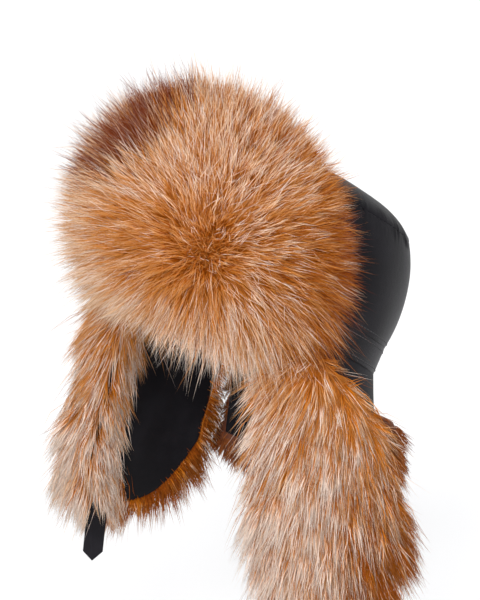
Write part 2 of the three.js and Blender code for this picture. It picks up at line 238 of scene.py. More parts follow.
# Hair at the crown: how far off it stays, and how far a hair may be pushed before it is left out.
CROWN_GAP = {"hair": 1.2 * MM, "underfur": 1.5 * MM, "search": 30 * MM, "pushed": 9 * MM}

# Coats of hair: tufts, hairs in a tuft, its spread at the root in mm and the share of that at its tip,
# droop and bow by length, crinkle in mm, place of the thickest point, and width against a guard hair's.
COATS = by_name(table(
    "name tufts members spread gather droop bow crinkle middle width",
    ("visor_guard", 6600, 5, 2.1, 0.6, 0.03, 0.05, 0.5, 0.5, 0.75),
    ("visor_wool", 6000, 5, 2.4, 0.75, 0.03, 0.0, 0.0, 0, 1.25),
    ("visor_stray", 4000, 3, 2.0, 0.5, 0.04, 0.07, 0.8, 0.5, 0.48),
    ("ear_stray", 500, 2, 2.2, 0.8, 0.04, 0.07, 0.8, 0.5, 0.5),
    ("ear_guard", 2600, 5, 2.2, 0.5, 0.05, 0.04, 0.4, 0.5, 0.9),
    ("ear_wool", 2600, 5, 2.4, 0.7, 0.05, 0.0, 0.0, 0, 1.2),
    ("ear_fold", 1000, 5, 1.8, 0.6, 0.04, 0.05, 0.5, 0.5, 1.05),
    ("nape_hair", 2600, 4, 1.8, 0.45, 0.03, 0.05, 0.5, 0.5, 0.95),
))

# All tufts: depth of the roots, lengths and widths within a tuft, how far tips and kinds stray, and
# the sag of the middle.
TUFT = {"root": 2 * MM, "shortest": 0.65, "longest": 1.08, "thinnest": 0.7, "thickest": 1.25,
        "stray": 0.035, "kind": 0.035, "sag": 0.35}

# Kinds of hair, as places on the hair map's width, how far the wool's lie towards rust, the width of
# a hair there and the map's margin.
RUST, ORANGE, CREAM, SILVER, DARK = 0.08, 0.3, 0.55, 0.76, 0.94
WOOL_KIND = {"visor": 0.08, "ear": 0.06}
HAIR_STRIP = 0.02
MAP_MARGIN = 0.002

# Where the visor's fur changes kind, by the way from its heart: spread in degrees, share of hairs.
VISOR_PATCHES = table(
    "way spread kind share",
    ((0.52, -0.85, 0.08), 22, ORANGE, 0.85),
    ((0.05, -0.99, 0.05), 18, ORANGE, 0.65),
    ((0.03, -0.59, 0.8), 12, ORANGE, 0.6),
    ((0.31, -0.39, -0.76), 28, SILVER, 0.8),
    ((-0.48, -0.52, -0.70), 24, CREAM, 0.7),
    ((0.1, 0.2, 0.95), 24, SILVER, 0.15),
    ((0.67, 0.52, 0.53), 28, ORANGE, 0.7),
    ((0.5, 0.05, 0.86), 30, RUST, 0.35),
    ((0.93, 0.05, 0.1), 30, ORANGE, 0.8),
    ((0.9, -0.1, 0.05), 24, RUST, 0.4),
    ((0.9, 0.42, 0.0), 34, RUST, 0.85),
    ((0.8, 0.12, -0.58), 19, RUST, 0.85),
    ((0.88, 0.42, 0.05), 28, DARK, 0.65),
    ((0.6, 0.72, 0.35), 22, DARK, 0.5),
    ((0.75, 0.38, -0.5), 22, DARK, 0.55),
    ((-0.9, 0.42, 0.0), 34, RUST, 0.8),
    ((-0.82, 0.57, 0.05), 24, DARK, 0.5),
    ((-0.32, -0.74, 0.57), 13, DARK, 0.9),
    ((-0.14, -0.66, 0.72), 14, DARK, 1.0),
    ((-0.26, -0.36, 0.88), 16, DARK, 1.0),
    ((-0.62, -0.58, 0.48), 17, DARK, 0.6),
)

# Chances of the ear's orange and silver hair by its depth, and of silver and rust as straight lines.
EAR_ORANGE = {"depth": (0, 0.25, 0.42, 0.6, 0.8, 1), "chance": (0.95, 0.85, 0.4, 0.15, 0.3, 0.6)}
EAR_ORANGE_FRONT = {"from": 0.4, "less": 0.5}
EAR_SILVER = {"depth": (0, 0.2, 0.4, 0.75, 0.95), "chance": (0, 0.6, 1, 1, 0.5)}
EAR_LINES = by_name(table(
    "name start slope most",
    ("silver_by_front", -0.7, 2.4, 0.95),
    ("rust_by_front", 1.95, -2.8, 0.85),
    ("rust_by_depth", -0.85, 3, 1),
    ("back_rust_by_front", 0.9, -5, 0.8),
))

# The two ears: which way is outwards, how pale the fur is, which is less on the far ear as painted shade,
# and how far its hem is drawn up.
EAR_SIDES = table("name sign pale hem", ("left", 1, 1.0, 0.0), ("right", -1, 0.6, 0.4))

# The view of the hat: the camera's bearing, height and lean in degrees, and where the origin falls.
VIEW = {"azimuth": 42, "elevation": 15, "roll": 7, "distance": 1.7, "metres_a_pixel": 0.77 * MM}
PICTURE = {"width": 480, "height": 600, "origin_x": 258, "origin_y": 324}
SENSOR_WIDTH = 36

# Soft lamps a long way off: bearing, height and softness in degrees, and strength.
LAMP_DISTANCE = 3
LAMPS = table(
    "name azimuth elevation softness strength",
    ("key", 28, 23, 36, 2.6),
    ("far side", -75, 30, 60, 0.4),
    ("near side", 78, 8, 50, 1.2),
)

COLOUR = {"subtype": "COLOR", "size": 3, "min": 0, "max": 1}
LENGTH = {"subtype": "DISTANCE", "unit": "LENGTH"}


class LeatherSettings(bpy.types.PropertyGroup):
    colour: bpy.props.FloatVectorProperty(
        name="Leather", description="Colour of the leather", default=(0.007, 0.0065, 0.008), **COLOUR)
    roughness: bpy.props.FloatProperty(
        name="Roughness", description="Roughness of the smooth outer face", subtype="FACTOR",
        default=0.36, min=0, max=1)
    grain: bpy.props.FloatProperty(
        name="Grain", description="Size of the leather's grain",
        default=1.3 * MM, min=0.2 * MM, max=5 * MM, **LENGTH)
    pucker: bpy.props.FloatProperty(
        name="Pucker", description="Depth of the puckers along the top seam",
        default=0.8 * MM, min=0, max=3 * MM, **LENGTH)
    stitch: bpy.props.FloatProperty(
        name="Stitch", description="Length of a stitch on the band",
        default=3 * MM, min=1 * MM, max=8 * MM, **LENGTH)
    thread: bpy.props.FloatVectorProperty(
        name="Thread", description="Colour of the sewing thread", default=(0.045, 0.043, 0.046), **COLOUR)


class FurSettings(bpy.types.PropertyGroup):
    root: bpy.props.FloatVectorProperty(
        name="Underfur", description="Colour at the root of the fur", default=(0.60, 0.172, 0.006), **COLOUR)
    ochre: bpy.props.FloatVectorProperty(
        name="Ochre", description="Colour of the orange hairs", default=(0.56, 0.210, 0.036), **COLOUR)
    cream: bpy.props.FloatVectorProperty(
        name="Cream", description="Colour of the pale tips", default=(0.92, 0.70, 0.50), **COLOUR)
    silver: bpy.props.FloatVectorProperty(
        name="Silver", description="Colour of the palest tips", default=(0.96, 0.85, 0.76), **COLOUR)
    dark: bpy.props.FloatVectorProperty(
        name="Dark", description="Colour of the dark tips", default=(0.150, 0.022, 0.006), **COLOUR)
    chestnut: bpy.props.FloatVectorProperty(
        name="Chestnut", description="Colour of the short fur at the nape", default=(0.22, 0.060, 0.020),
        **COLOUR)
    hair: bpy.props.FloatProperty(
        name="Hair", description="Radius of a wisp of guard hair",
        default=0.34 * MM, min=0.1 * MM, max=1.5 * MM, **LENGTH)
    seed: bpy.props.IntProperty(name="Seed", description="Start of the hair's scatter", default=7, min=0)


class StudioSettings(bpy.types.PropertyGroup):
    floor: bpy.props.FloatVectorProperty(
        name="Floor", description="Colour of the floor", default=(0.92, 0.92, 0.93), **COLOUR)
    below: bpy.props.FloatProperty(
        name="Floor depth", description="Depth of the floor under the origin",
        default=0.34, min=0.24, max=2, **LENGTH)
    light: bpy.props.FloatProperty(
        name="Light", description="Strength of the lamps", unit="POWER", default=1.0, min=0, max=10)
    sky: bpy.props.FloatProperty(
        name="Room light", description="Strength of the even light of the room", default=0.8, min=0, max=5)


class Value:
    """A number, colour or direction in a material. Sums on numbers add their nodes."""

    def __init__(self, finish, socket):
        self.finish = finish
        self.socket = socket

    def sum(self, operation, other):
        return self.finish.node("ShaderNodeMath", {"operation": operation}, {0: self, 1: other})

    def __add__(self, other):
        return self.sum("ADD", other)

    def __mul__(self, other):
        return self.sum("MULTIPLY", other)

    __radd__ = __add__
    __rmul__ = __mul__


class Finish:
    """A material and the ways to build its nodes."""

    def __init__(self, name):
        self.material = bpy.data.materials.new(name)
        self.material.use_nodes = True
        self.tree = self.material.node_tree
        self.tree.nodes.clear()

    def node(self, kind, settings=None, sockets=None, out=0):
        node = self.tree.nodes.new(kind)
        for key, value in (settings or {}).items():
            if key == "stops":
                self.set_stops(node.color_ramp, value)
            else:
                setattr(node, key, value)
        for key, value in (sockets or {}).items():
            if isinstance(value, Value):
                self.tree.links.new(value.socket, node.inputs[key])
            else:
                node.inputs[key].default_value = value
        return Value(self, node.outputs[out]) if len(node.outputs) else node

    @staticmethod
    def set_stops(ramp, stops):
        while len(ramp.elements) < len(stops):
            ramp.elements.new(0.5)
        for element, (place, colour) in zip(ramp.elements, stops):
            element.position = place
            element.color = (*colour, 1)

    def mix(self, share, first, second):
        """A colour between two others."""
        first, second = (c if isinstance(c, Value) else (*c, 1) for c in (first, second))
        return self.node("ShaderNodeMix", {"data_type": "RGBA"}, {0: share, 6: first, 7: second}, out=2)

    def smooth_step(self, value, low, high):
        sockets = {"Value": value, "From Min": low, "From Max": high}
        return self.node("ShaderNodeMapRange", {"interpolation_type": "SMOOTHSTEP"}, sockets)

    def place(self):
        return self.node("ShaderNodeTexCoord", out="Object")

    def noise(self, size, detail):
        """Noise whose spots are of a size in metres, from 0 to 1."""
        sockets = {"Vector": self.place(), "Scale": 1 / size, "Detail": detail}
        return self.node("ShaderNodeTexNoise", None, sockets)

    def cells(self, size):
        """Distance to the edges of cells of a size in metres."""
        settings = {"feature": "DISTANCE_TO_EDGE"}
        return self.node("ShaderNodeTexVoronoi", settings, {"Vector": self.place(), "Scale": 1 / size})

    def bump(self, height, distance):
        return self.node("ShaderNodeBump", None, {"Height": height, "Distance": distance})

    def close(self, **sockets):
        """Sets the shader's sockets, named with _ for a space, and returns the material."""
        named = {key.replace("_", " "): value for key, value in sockets.items()}
        shader = self.node("ShaderNodeBsdfPrincipled", None, named)
        self.node("ShaderNodeOutputMaterial", None, {"Surface": shader})
        return self.material


def times(colour, share):
    return tuple(channel * share for channel in colour)


def blend(first, second, share):
    return tuple(a + (b - a) * share for a, b in zip(first, second))


def leather_finish(name, settings, roughness):
    """Black leather with fine grain, soft creases and a little wear."""
    finish = Finish(name)
    colour = tuple(settings.colour)
    worn = times(colour, 1.9)
    clouds = finish.noise(34 * MM, detail=3)
    grain = finish.cells(settings.grain)
    pores = finish.noise(settings.grain * 0.4, detail=2)
    creases = finish.noise(11 * MM, detail=3)
    height = 0.55 * finish.smooth_step(grain, 0.0, 0.3) + 0.25 * pores + 0.9 * creases
    return finish.close(
        Base_Color=finish.mix(finish.smooth_step(clouds, 0.35, 0.75), colour, worn),
        Roughness=roughness - 0.06 + 0.12 * clouds + 0.05 * pores,
        Normal=finish.bump(height, distance=0.10 * MM),
        Specular_IOR_Level=0.05,
    )


def thread_finish(settings):
    finish = Finish("sewing_thread")
    twist = finish.noise(0.5 * MM, detail=1)
    colour = tuple(settings.thread)
    return finish.close(
        Base_Color=finish.mix(twist, times(colour, 0.6), colour),
        Roughness=0.6,
        Normal=finish.bump(twist, distance=0.08 * MM),
    )


def hair_finish(name, heights, kinds):
    """Hair whose kind runs over its map's width, and whose root to tip runs over the map's height.
    kinds has each kind's colours at the heights, by its place on the width."""
    finish = Finish(name)
    uv = finish.node("ShaderNodeUVMap", {"uv_map": HAIR_MAP})
    across = finish.node("ShaderNodeSeparateXYZ", None, {0: uv}, out="X")
    along = finish.node("ShaderNodeSeparateXYZ", None, {0: uv}, out="Y")
    levels = []
    for level in range(len(heights)):
        stops = [(place, colours[level]) for place, colours in kinds.items()]
        levels.append(finish.node("ShaderNodeValToRGB", {"stops": stops}, {0: across}))
    colour = levels[0]
    for below, height, there in zip(heights, heights[1:], levels[1:]):
        colour = finish.mix(finish.smooth_step(along, below, height), colour, there)
    return finish.close(
        Base_Color=colour,
        Roughness=0.6,
        Specular_IOR_Level=0.05,
        # Painted glow: each hair glows faintly in its root colour, fading out towards the tip, standing in
        # for light scattered deep in the fur.
        Emission_Color=finish.mix(finish.smooth_step(along, 0.0, 0.7), levels[0], (0, 0, 0)),
        Emission_Strength=0.2,
    )


def fox_finish(fur):
    """Guard hair from its base to its tip: dark rust, orange, cream, silver and near black."""
    root, ochre, cream, silver, dark = (
        tuple(colour) for colour in (fur.root, fur.ochre, fur.cream, fur.silver, fur.dark))
    # Painted shade: orange, cream and silver hair start at the root a little towards the dark colour, so the
    # depths of the fur read darker.
    base = blend(root, dark, 0.12)
    kinds = {
        RUST: [blend(root, dark, share) for share in (0.85, 0.75, 0.65, 0.45)],
        ORANGE: [base, root, ochre, blend(ochre, cream, 0.2)],
        CREAM: [base, blend(root, ochre, 0.6), blend(ochre, cream, 0.6), cream],
        SILVER: [base, ochre, blend(ochre, silver, 0.8), silver],
        DARK: [blend(root, dark, share) for share in (0.9, 0.8, 0.92, 1)],
    }
    return hair_finish("fox_guard_hair", (0.0, 0.36, 0.66, 0.95), kinds)


def chestnut_finish(fur):
    chestnut, dark, ochre = tuple(fur.chestnut), tuple(fur.dark), tuple(fur.ochre)
    base = blend(chestnut, dark, 0.5)
    kinds = {
        0.0: [base, base, chestnut, blend(chestnut, dark, 0.75)],
        1.0: [base, chestnut, blend(chestnut, ochre, 0.35), blend(chestnut, ochre, 0.25)],
    }
    return hair_finish("chestnut_hair", (0.0, 0.3, 0.7, 1.0), kinds)


def underfur_finish(name, colour, light, shade, shaded):
    """The woolly fur under the long hairs, painted darker than the hair as the shade deep in the fur:
    darkest between its tufts, and in the shade's colour at its back, between two depths. Its faint
    glow is painted light."""
    finish = Finish(name)
    depth = finish.node("ShaderNodeSeparateXYZ", None, {0: finish.place()}, out="Y")
    tufts = finish.noise(7 * MM, detail=3)
    wool = finish.noise(1.6 * MM, detail=2)
    # Painted shade: the wool is 0.3 of its colour in the hollows between tufts and the light share of it on
    # their tops.
    tuft_shade_mask = finish.smooth_step(tufts * 0.6 + wool * 0.4, 0.3, 0.7)
    shaded_wool_colour = finish.mix(tuft_shade_mask, times(colour, 0.3), times(colour, light))
    # Painted shade at the back: between the two depths the wool turns to 0.3 of the shade colour.
    shaded_wool_colour = finish.mix(finish.smooth_step(depth, *shaded), shaded_wool_colour, times(shade, 0.3))
    return finish.close(
        Base_Color=shaded_wool_colour,
        Roughness=0.9,
        Normal=finish.bump(0.5 * tufts + wool, distance=1.5 * MM),
        # Painted glow: the wool glows faintly in its own painted colour.
        Emission_Color=shaded_wool_colour,
        Emission_Strength=0.18,
    )


def deselect():
    for obj in bpy.context.selected_objects:
        obj.select_set(False)


def only(obj):
    deselect()
    obj.select_set(True)
    bpy.context.view_layer.objects.active = obj


def edit_all():
    """Opens the active piece in edit mode, with all of it selected."""
    bpy.ops.object.mode_set(mode="EDIT")
    bpy.ops.mesh.select_all(action="SELECT")


def modify(obj, kind, **settings):
    """Adds one modifier and applies it."""
    modifier = obj.modifiers.new(kind.lower(), kind)
    for key, value in settings.items():
        setattr(modifier, key, value)
    only(obj)
    bpy.ops.object.modifier_apply(modifier=modifier.name)
    return obj


def subdivided(obj):
    return modify(obj, "SUBSURF", levels=2, render_levels=2)


def moved(obj, move):
    """Moves all of an object's points by a function of their places and normals."""
    mesh = obj.data
    count = len(mesh.vertices)
    places = np.empty(count * 3)
    mesh.vertices.foreach_get("co", places)
    normals = np.empty(count * 3)
    mesh.vertices.foreach_get("normal", normals)
    mesh.vertices.foreach_set("co", move(places.reshape(-1, 3), normals.reshape(-1, 3)).ravel())
    mesh.update()
    return obj


def finished(obj, material, slot, replaced=()):
    """Paints a piece, smooths its shading and hands it to the frame."""
    obj.data.materials.clear()
    obj.data.materials.append(material)
    only(obj)
    bpy.ops.object.shade_smooth()
    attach(obj, BODY)
    if replaced:
        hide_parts(*replaced)
    return obj


def surface_of(*objects):
    """One search tree over the faces of several objects."""
    points, faces = [], []
    for obj in objects:
        start = len(points)
        points.extend(v.co.copy() for v in obj.data.vertices)
        faces.extend([start + i for i in p.vertices] for p in obj.data.polygons)
    return BVHTree.FromPolygons(points, faces)


def nearest(tree, places):
    """The nearest spots on a surface, the normals there and the gaps."""
    found = [tree.find_nearest(place) for place in places]
    return tuple(np.array([hit[k] for hit in found]) for k in (0, 1, 3))


def box_of(node):
    return (np.array(corner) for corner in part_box(node))


def unit(vectors):
    return vectors / np.maximum(np.linalg.norm(vectors, axis=-1, keepdims=True), TINY)


def ramp(value, start, end):
    """Rises from 0 where a value is at its start to 1 where it is at its end."""
    return np.clip((value - start) / (end - start), 0, 1)


def drift(place, size, flow):
    """Slow changes of way from place to place, which let the hair flow in strands of a size."""
    x, y, z = (place / size * 2 * math.pi).T
    ways = (np.sin(y + 1.3 * z), np.sin(z - 0.7 * x + 2), np.sin(1.1 * x + y + 4))
    return flow * np.stack(ways, axis=1)


def lean():
    """Turns the piece in edit mode back onto the head, as the crown leans."""
    obj = bpy.context.object
    bpy.ops.object.mode_set(mode="OBJECT")
    obj.data.transform(Matrix.Rotation(-CROWN_TILT, 4, "X"))
    obj.data.update()


def leaned(point):
    return Matrix.Rotation(-CROWN_TILT, 3, "X") @ Vector(point)


def crown_size(height):
    """Half width, half length and set back of the crown at a height."""
    return read_off(CROWN_SECTIONS, "height", height / MM)


def crown_rows(bottom, top):
    """Sections between two heights, with close rows at both ends that keep the edges crisp."""
    heights = [bottom, bottom + EDGE_LOOP, top - EDGE_LOOP, top]
    between = [section["height"] * MM for section in CROWN_SECTIONS]
    heights += [h for h in between if bottom + 3 * EDGE_LOOP < h < top - 3 * EDGE_LOOP]
    return [(height, *crown_size(height)) for height in sorted(heights)]


def extruded_ring(name, rows):
    """A ring of edges at the first row, extruded row by row. A row is height, half sizes and back."""
    deselect()
    bpy.ops.mesh.primitive_circle_add(vertices=CROWN_COLUMNS, radius=1)
    obj = bpy.context.object
    obj.name = obj.data.name = name
    edit_all()
    height, wide, long, back = rows[0]
    bpy.ops.transform.resize(value=(wide, long, 1), center_override=(0, 0, 0))
    bpy.ops.transform.translate(value=(0, back, height))
    for next_height, next_wide, next_long, next_back in rows[1:]:
        step = (0, next_back - back, next_height - height)
        bpy.ops.mesh.extrude_region_move(TRANSFORM_OT_translate={"value": step})
        share = (next_wide / wide, next_long / long, 1)
        bpy.ops.transform.resize(value=share, center_override=(0, next_back, next_height))
        height, wide, long, back = next_height, next_wide, next_long, next_back
    return obj


def walled(obj):
    """Gives a leather panel its thickness, on its inner side."""
    face = obj.data.polygons[0]
    faces_inward = face.normal.dot(face.center * Vector((1, 1, 0))) < 0
    return modify(
        obj, "SOLIDIFY", thickness=LEATHER, offset=1 if faces_inward else -1, use_even_offset=True)


def outward(obj):
    """Turns a closed piece's faces outward, after its doubles are merged."""
    only(obj)
    edit_all()
    bpy.ops.mesh.remove_doubles(threshold=MERGED)
    bpy.ops.mesh.normals_make_consistent(inside=False)
    bpy.ops.object.mode_set(mode="OBJECT")
    return obj


def puckered(obj, depth):
    """Short gathers that run away from the top seam, and soft dents lower down."""
    upright = np.array(Matrix.Rotation(CROWN_TILT, 3, "X"))

    def move(places, normals):
        level = places @ upright.T
        angle = np.arctan2(level[:, 0], -level[:, 1])
        under = np.abs(TOP_SEAM_HEIGHT - level[:, 2])
        near = np.exp(-((under / GATHERS["down"]) ** 2))
        sway = GATHERS["sway"] * np.sin(GATHERS["sways"] * angle)
        swell = 1 - GATHERS["swell"] + GATHERS["swell"] * np.sin(GATHERS["swells"] * angle)
        gathers = np.sin(GATHERS["count"] * angle + sway) * swell
        dents = np.sin(DENTS["count"] * angle + 1.2) * np.sin(level[:, 2] / DENTS["height"] + 2 * angle)
        dents *= np.clip(np.hypot(level[:, 0], level[:, 1]) / DENTS["fade"], 0, 1) ** 3
        inside = np.sum(normals * (places - places.mean(axis=0)), axis=1) < 0
        share = depth * near * gathers + DENTS["depth"] * dents * (1 - near) * (level[:, 2] > BAND_HEIGHT)
        share = np.where(inside, -share, share)
        return places + normals * share[:, None]

    return moved(obj, move)


def crown_wall(name, bottom, top):
    """A leather wall of the crown between two heights."""
    obj = extruded_ring(name, crown_rows(bottom, top))
    lean()
    return outward(subdivided(walled(obj)))


def make_crown_side(settings, material):
    obj = crown_wall("crown_wall", BAND_HEIGHT - SEAM_LAP / 2, TOP_SEAM_HEIGHT + SEAM_LAP / 2)
    return finished(puckered(obj, settings.pucker), material, "crown_leather", ("crown_side",))


def make_crown_band(material):
    obj = crown_wall("crown_headband", 0, BAND_HEIGHT + SEAM_LAP / 2)
    return finished(obj, material, "crown_leather", ("crown_band",))


def make_crown_top(settings, material):
    """The domed panel: a ring drawn in to its middle, then given its wall."""
    wide, long, back = crown_size(TOP_SEAM_HEIGHT)
    rim = TOP_SEAM_HEIGHT - SEAM_LAP / 2
    rows = [(rim + s["rise"] * MM, wide * s["reach"], long * s["reach"], back) for s in TOP_SECTION]
    obj = extruded_ring("crown_panel", rows)
    bpy.ops.mesh.edge_face_add()
    bpy.ops.mesh.poke()
    lean()
    puckered(outward(subdivided(walled(obj))), settings.pucker)
    return finished(obj, material, "crown_leather", ("crown_top",))


def make_stitches(settings, material, walls):
    """One stitch is modelled, and its copies are laid in rows round the band."""
    deselect()
    bpy.ops.mesh.primitive_uv_sphere_add(segments=8, ring_count=5, radius=1)
    bead = bpy.context.object
    bead.name = bead.data.name = "band_stitches"
    half_size = (settings.stitch / 2, STITCH["radius"], STITCH["radius"])
    shape = np.array([v.co for v in bead.data.vertices]) * np.array(half_size)
    faces = [tuple(p.vertices) for p in bead.data.polygons]
    tree = surface_of(*walls)
    points, polygons = [], []
    for row in STITCH_ROWS:
        places = stitch_places(tree, row["height"] * MM, row["start"], settings.stitch * STITCH["pitch"])
        for place, along, normal in places:
            turn = np.array(Matrix((along, normal.cross(along), normal)))
            start = len(points)
            points.extend(shape @ turn + np.array(place + normal * STITCH["proud"]))
            polygons.extend(tuple(start + i for i in face) for face in faces)
    bead.data.clear_geometry()
    bead.data.from_pydata([tuple(p) for p in points], [], polygons)
    bead.data.update()
    return finished(outward(bead), material, "crown_leather")


def stitch_places(tree, height, start, pitch):
    """Places along the crown at a height, with the way of the seam and of the face."""
    wide, long, back = crown_size(height)
    count = int(math.pi * (wide + long) / pitch)
    middle = leaned((0, back, height))
    for index in range(count):
        angle = (index + start) * 2 * math.pi / count
        guess = leaned((wide * math.sin(angle), back - long * math.cos(angle), height))
        way = leaned((wide * math.cos(angle), long * math.sin(angle), 0)).normalized()
        out = (guess - middle).normalized()
        place, normal, _, _ = tree.find_nearest(guess + out * 3 * MM)
        yield place, (way - normal * way.dot(normal)).normalized(), normal


def solid_copy(node, name):
    """A merged copy of a solid's mesh, with its triangles paired into quads."""
    obj = bpy.data.objects.new(name, frame["nodes"][node].data.copy())
    obj.data.name = name
    bpy.context.scene.collection.objects.link(obj)
    only(obj)
    edit_all()
    bpy.ops.mesh.remove_doubles(threshold=MERGED)
    bpy.ops.mesh.tris_convert_to_quads(face_threshold=math.radians(50), shape_threshold=math.radians(60))
    bpy.ops.object.mode_set(mode="OBJECT")
    return obj


def make_flap(node, name, material):
    """Soft leather of a flap, smoothed from its solid and sewn to the band along its upper edge."""
    obj = solid_copy(node, name)
    bpy.ops.object.mode_set(mode="EDIT")
    bpy.ops.mesh.select_all(action="DESELECT")
    bpy.ops.mesh.edges_select_sharp(sharpness=math.radians(50))
    bpy.ops.transform.edge_crease(value=0.9)
    bpy.ops.object.mode_set(mode="OBJECT")
    subdivided(moved(obj, sewn_to("crown_band")))
    return finished(obj, material, "flap_leather", (node,))


def sewn_to(node):
    """Moves the points beside a solid into it a little, which closes the seam between them."""
    tree = surface_of(frame["nodes"][node])

    def move(places, normals):
        spots, _, gap = nearest(tree, places)
        pull = np.where(gap < SEWN["within"], gap + SEWN["lap"], 0)
        return places + unit(spots - places) * pull[:, None]

    return move


def make_tie(side, material):
    """A strap that turns flat to the front just below its seat, sooner than the solid does."""
    name, sign = side["name"], side["sign"]
    node = f"tie_{name}"
    obj = solid_copy(node, f"tie_strap_{name}")
    low, high = box_of(node)
    axis = (low + high)[:2] / 2

    def turned(places, normals):
        drop = high[2] - places[:, 2]
        built = TIE["solid_turn"] * ramp(drop, TIE["straight"], TIE["length"])
        turn = sign * (TIE["turn"] * ramp(drop, 0, TIE["turned_by"]) - built)
        x, y = (places[:, :2] - axis).T
        flat = np.stack([x * np.cos(turn) - y * np.sin(turn), x * np.sin(turn) + y * np.cos(turn)], axis=1)
        return np.concatenate([flat + axis, places[:, 2:]], axis=1)

    moved(obj, turned)
    modify(obj, "BEVEL", width=TIE["edge"], segments=3, limit_method="ANGLE", angle_limit=math.radians(45))
    modify(obj, "TRIANGULATE")
    only(finished(obj, material, "tie_leather", (node,)))
    bpy.ops.object.shade_smooth_by_angle(angle=math.radians(35))
    return obj


def uneven(places, normals):
    return places + normals * drift(places, UNEVEN["size"], UNEVEN["height"])[:, :1]


def make_underfur(node, name, material, slot, shaped, cell, rounds):
    """The woolly body of a fur: its solid cast in cells of a size, shaped, and smoothed in rounds."""
    obj = solid_copy(node, name)
    modify(obj, "REMESH", mode="VOXEL", voxel_size=cell)
    moved(obj, shaped)
    modify(obj, "SMOOTH", factor=0.5, iterations=rounds)
    moved(obj, uneven)
    return finished(obj, material, slot, (node,))


def fur_reach(out):
    """Reach of the visor's fur along ways from its heart."""
    slope = np.degrees(np.arcsin(np.clip(out[:, 2], -1, 1)))
    front, side, rear = read_off(FUR_REACH, "slope", slope)
    ahead = -out[:, 1] / np.maximum(np.hypot(out[:, 0], out[:, 1]), TINY)
    end = np.where(ahead > 0, front, rear)
    low_right = ramp(out[:, 0], 0, -1) * ramp(out[:, 2], 0.3, -0.7)
    return (end + (side - end) * (1 - ahead ** 2)) * (1 - LOW_RIGHT_LESS * low_right)


def visor_form(places, normals):
    """Draws the locks of the visor's fur in to the underfur."""
    out = unit(places - FUR_HEART)
    far = np.linalg.norm(places - FUR_HEART, axis=1)
    return FUR_HEART + out * np.minimum(far, fur_reach(out) * VISOR_UNDERFUR)[:, None]


def away_from(node, gap):
    """Tells which places are further than a gap from a solid."""
    tree = surface_of(frame["nodes"][node])
    return lambda places: nearest(tree, places)[2] > gap


def scatter(obj, count, rng, keep):
    """Places spread over an object's faces where keep(places, normals) holds, and the normals there."""
    mesh = obj.data
    mesh.calc_loop_triangles()
    corners = np.array([t.vertices[:] for t in mesh.loop_triangles])
    points = np.array([v.co[:] for v in mesh.vertices])
    a, b, c = (points[corners[:, k]] for k in range(3))
    cross = np.cross(b - a, c - a)
    area = np.linalg.norm(cross, axis=1) / 2
    normal = cross / np.maximum(area * 2, SLIVER)[:, None]
    area = area * keep((a + b + c) / 3, normal)
    chosen = rng.choice(len(area), size=count, p=area / area.sum())
    first, second = rng.random((2, count))
    flip = first + second > 1
    first, second = np.where(flip, 1 - first, first), np.where(flip, 1 - second, second)
    place = a[chosen] + (b - a)[chosen] * first[:, None] + (c - a)[chosen] * second[:, None]
    vertex_normals = np.array([v.normal[:] for v in mesh.vertices])
    return place, unit(sum(vertex_normals[corners[chosen, k]] for k in range(3)))


def crown_form():
    """The crown's outer form with no hollow, which the hair stays out of."""
    shell = bmesh.new()
    for node in ("crown_band", "crown_side", "crown_top"):
        for vertex in frame["nodes"][node].data.vertices:
            shell.verts.new(vertex.co)
    hull = bmesh.ops.convex_hull(shell, input=shell.verts)
    loose = {e for e in hull["geom_interior"] + hull["geom_unused"] if isinstance(e, bmesh.types.BMVert)}
    bmesh.ops.delete(shell, geom=list(loose), context="VERTS")
    bmesh.ops.recalc_face_normals(shell, faces=shell.faces)
    tree = BVHTree.FromBMesh(shell)
    shell.free()
    return tree


def clear_of(points, tree, gap):
    """Pushes the points that lie in a form or nearer to it than a gap out to that gap."""
    flat = points.reshape(-1, 3)
    for index, point in enumerate(flat):
        spot, normal, _, _ = tree.find_nearest(point, CROWN_GAP["search"])
        if spot is None:
            continue
        depth = (Vector(point) - spot).dot(normal)
        if depth < gap:
            flat[index] += np.array(normal) * (gap - depth)
    return flat.reshape(points.shape)


def hair_lines(root, tip, bow, coat, rng):
    """Each hair's root and tip, with a bowed and crinkled middle between them where it has one."""
    if not coat["middle"]:
        return np.stack([root, tip], axis=1)
    crinkle = rng.normal(size=root.shape) * coat["crinkle"] * MM
    return np.stack([root, root + (tip - root) * coat["middle"] + bow + crinkle, tip], axis=1)


def hair_piece(name, lines, radius, kind, middle, pelt):
    """Joins hairs into one mesh. Each is three-sided, thickest at its middle or else at its root."""
    count = len(lines)
    along = unit(lines[:, -1] - lines[:, 0])
    first = unit(np.cross(along, unit(pelt["rng"].normal(size=along.shape))))[:, None, :]
    second = np.cross(along, first[:, 0])[:, None, :]
    turns = (np.arange(3) * 2 * math.pi / 3)[None, :, None]
    around = first * np.cos(turns) + second * np.sin(turns)
    ring = lines[:, -2, None, :] + around * radius[:, None, None]
    points = np.concatenate([lines[:, :-2], ring, lines[:, -1:]], axis=1)
    faces, places = hair_faces(middle)
    corners = np.arange(count)[:, None] * points.shape[1] + np.concatenate(faces)[None, :]
    mesh = bpy.data.meshes.new(name)
    mesh.vertices.add(count * points.shape[1])
    mesh.vertices.foreach_set("co", points.ravel())
    mesh.loops.add(corners.size)
    mesh.loops.foreach_set("vertex_index", corners.ravel().astype(np.int32))
    mesh.polygons.add(count * len(faces))
    mesh.polygons.foreach_set("loop_start", np.arange(count * len(faces), dtype=np.int32) * 3)
    mesh.update(calc_edges=True)
    u = np.clip(kind[:, None] + places[None, :, 0] * HAIR_STRIP, MAP_MARGIN, 1 - MAP_MARGIN)
    v = np.broadcast_to(places[None, :, 1], u.shape)
    hair_map = mesh.uv_layers.new(name=HAIR_MAP)
    hair_map.data.foreach_set("uv", np.stack([u, v], axis=-1).ravel().astype(np.float32))
    obj = bpy.data.objects.new(name, mesh)
    bpy.context.scene.collection.objects.link(obj)
    return finished(obj, pelt["material"], pelt["slot"])


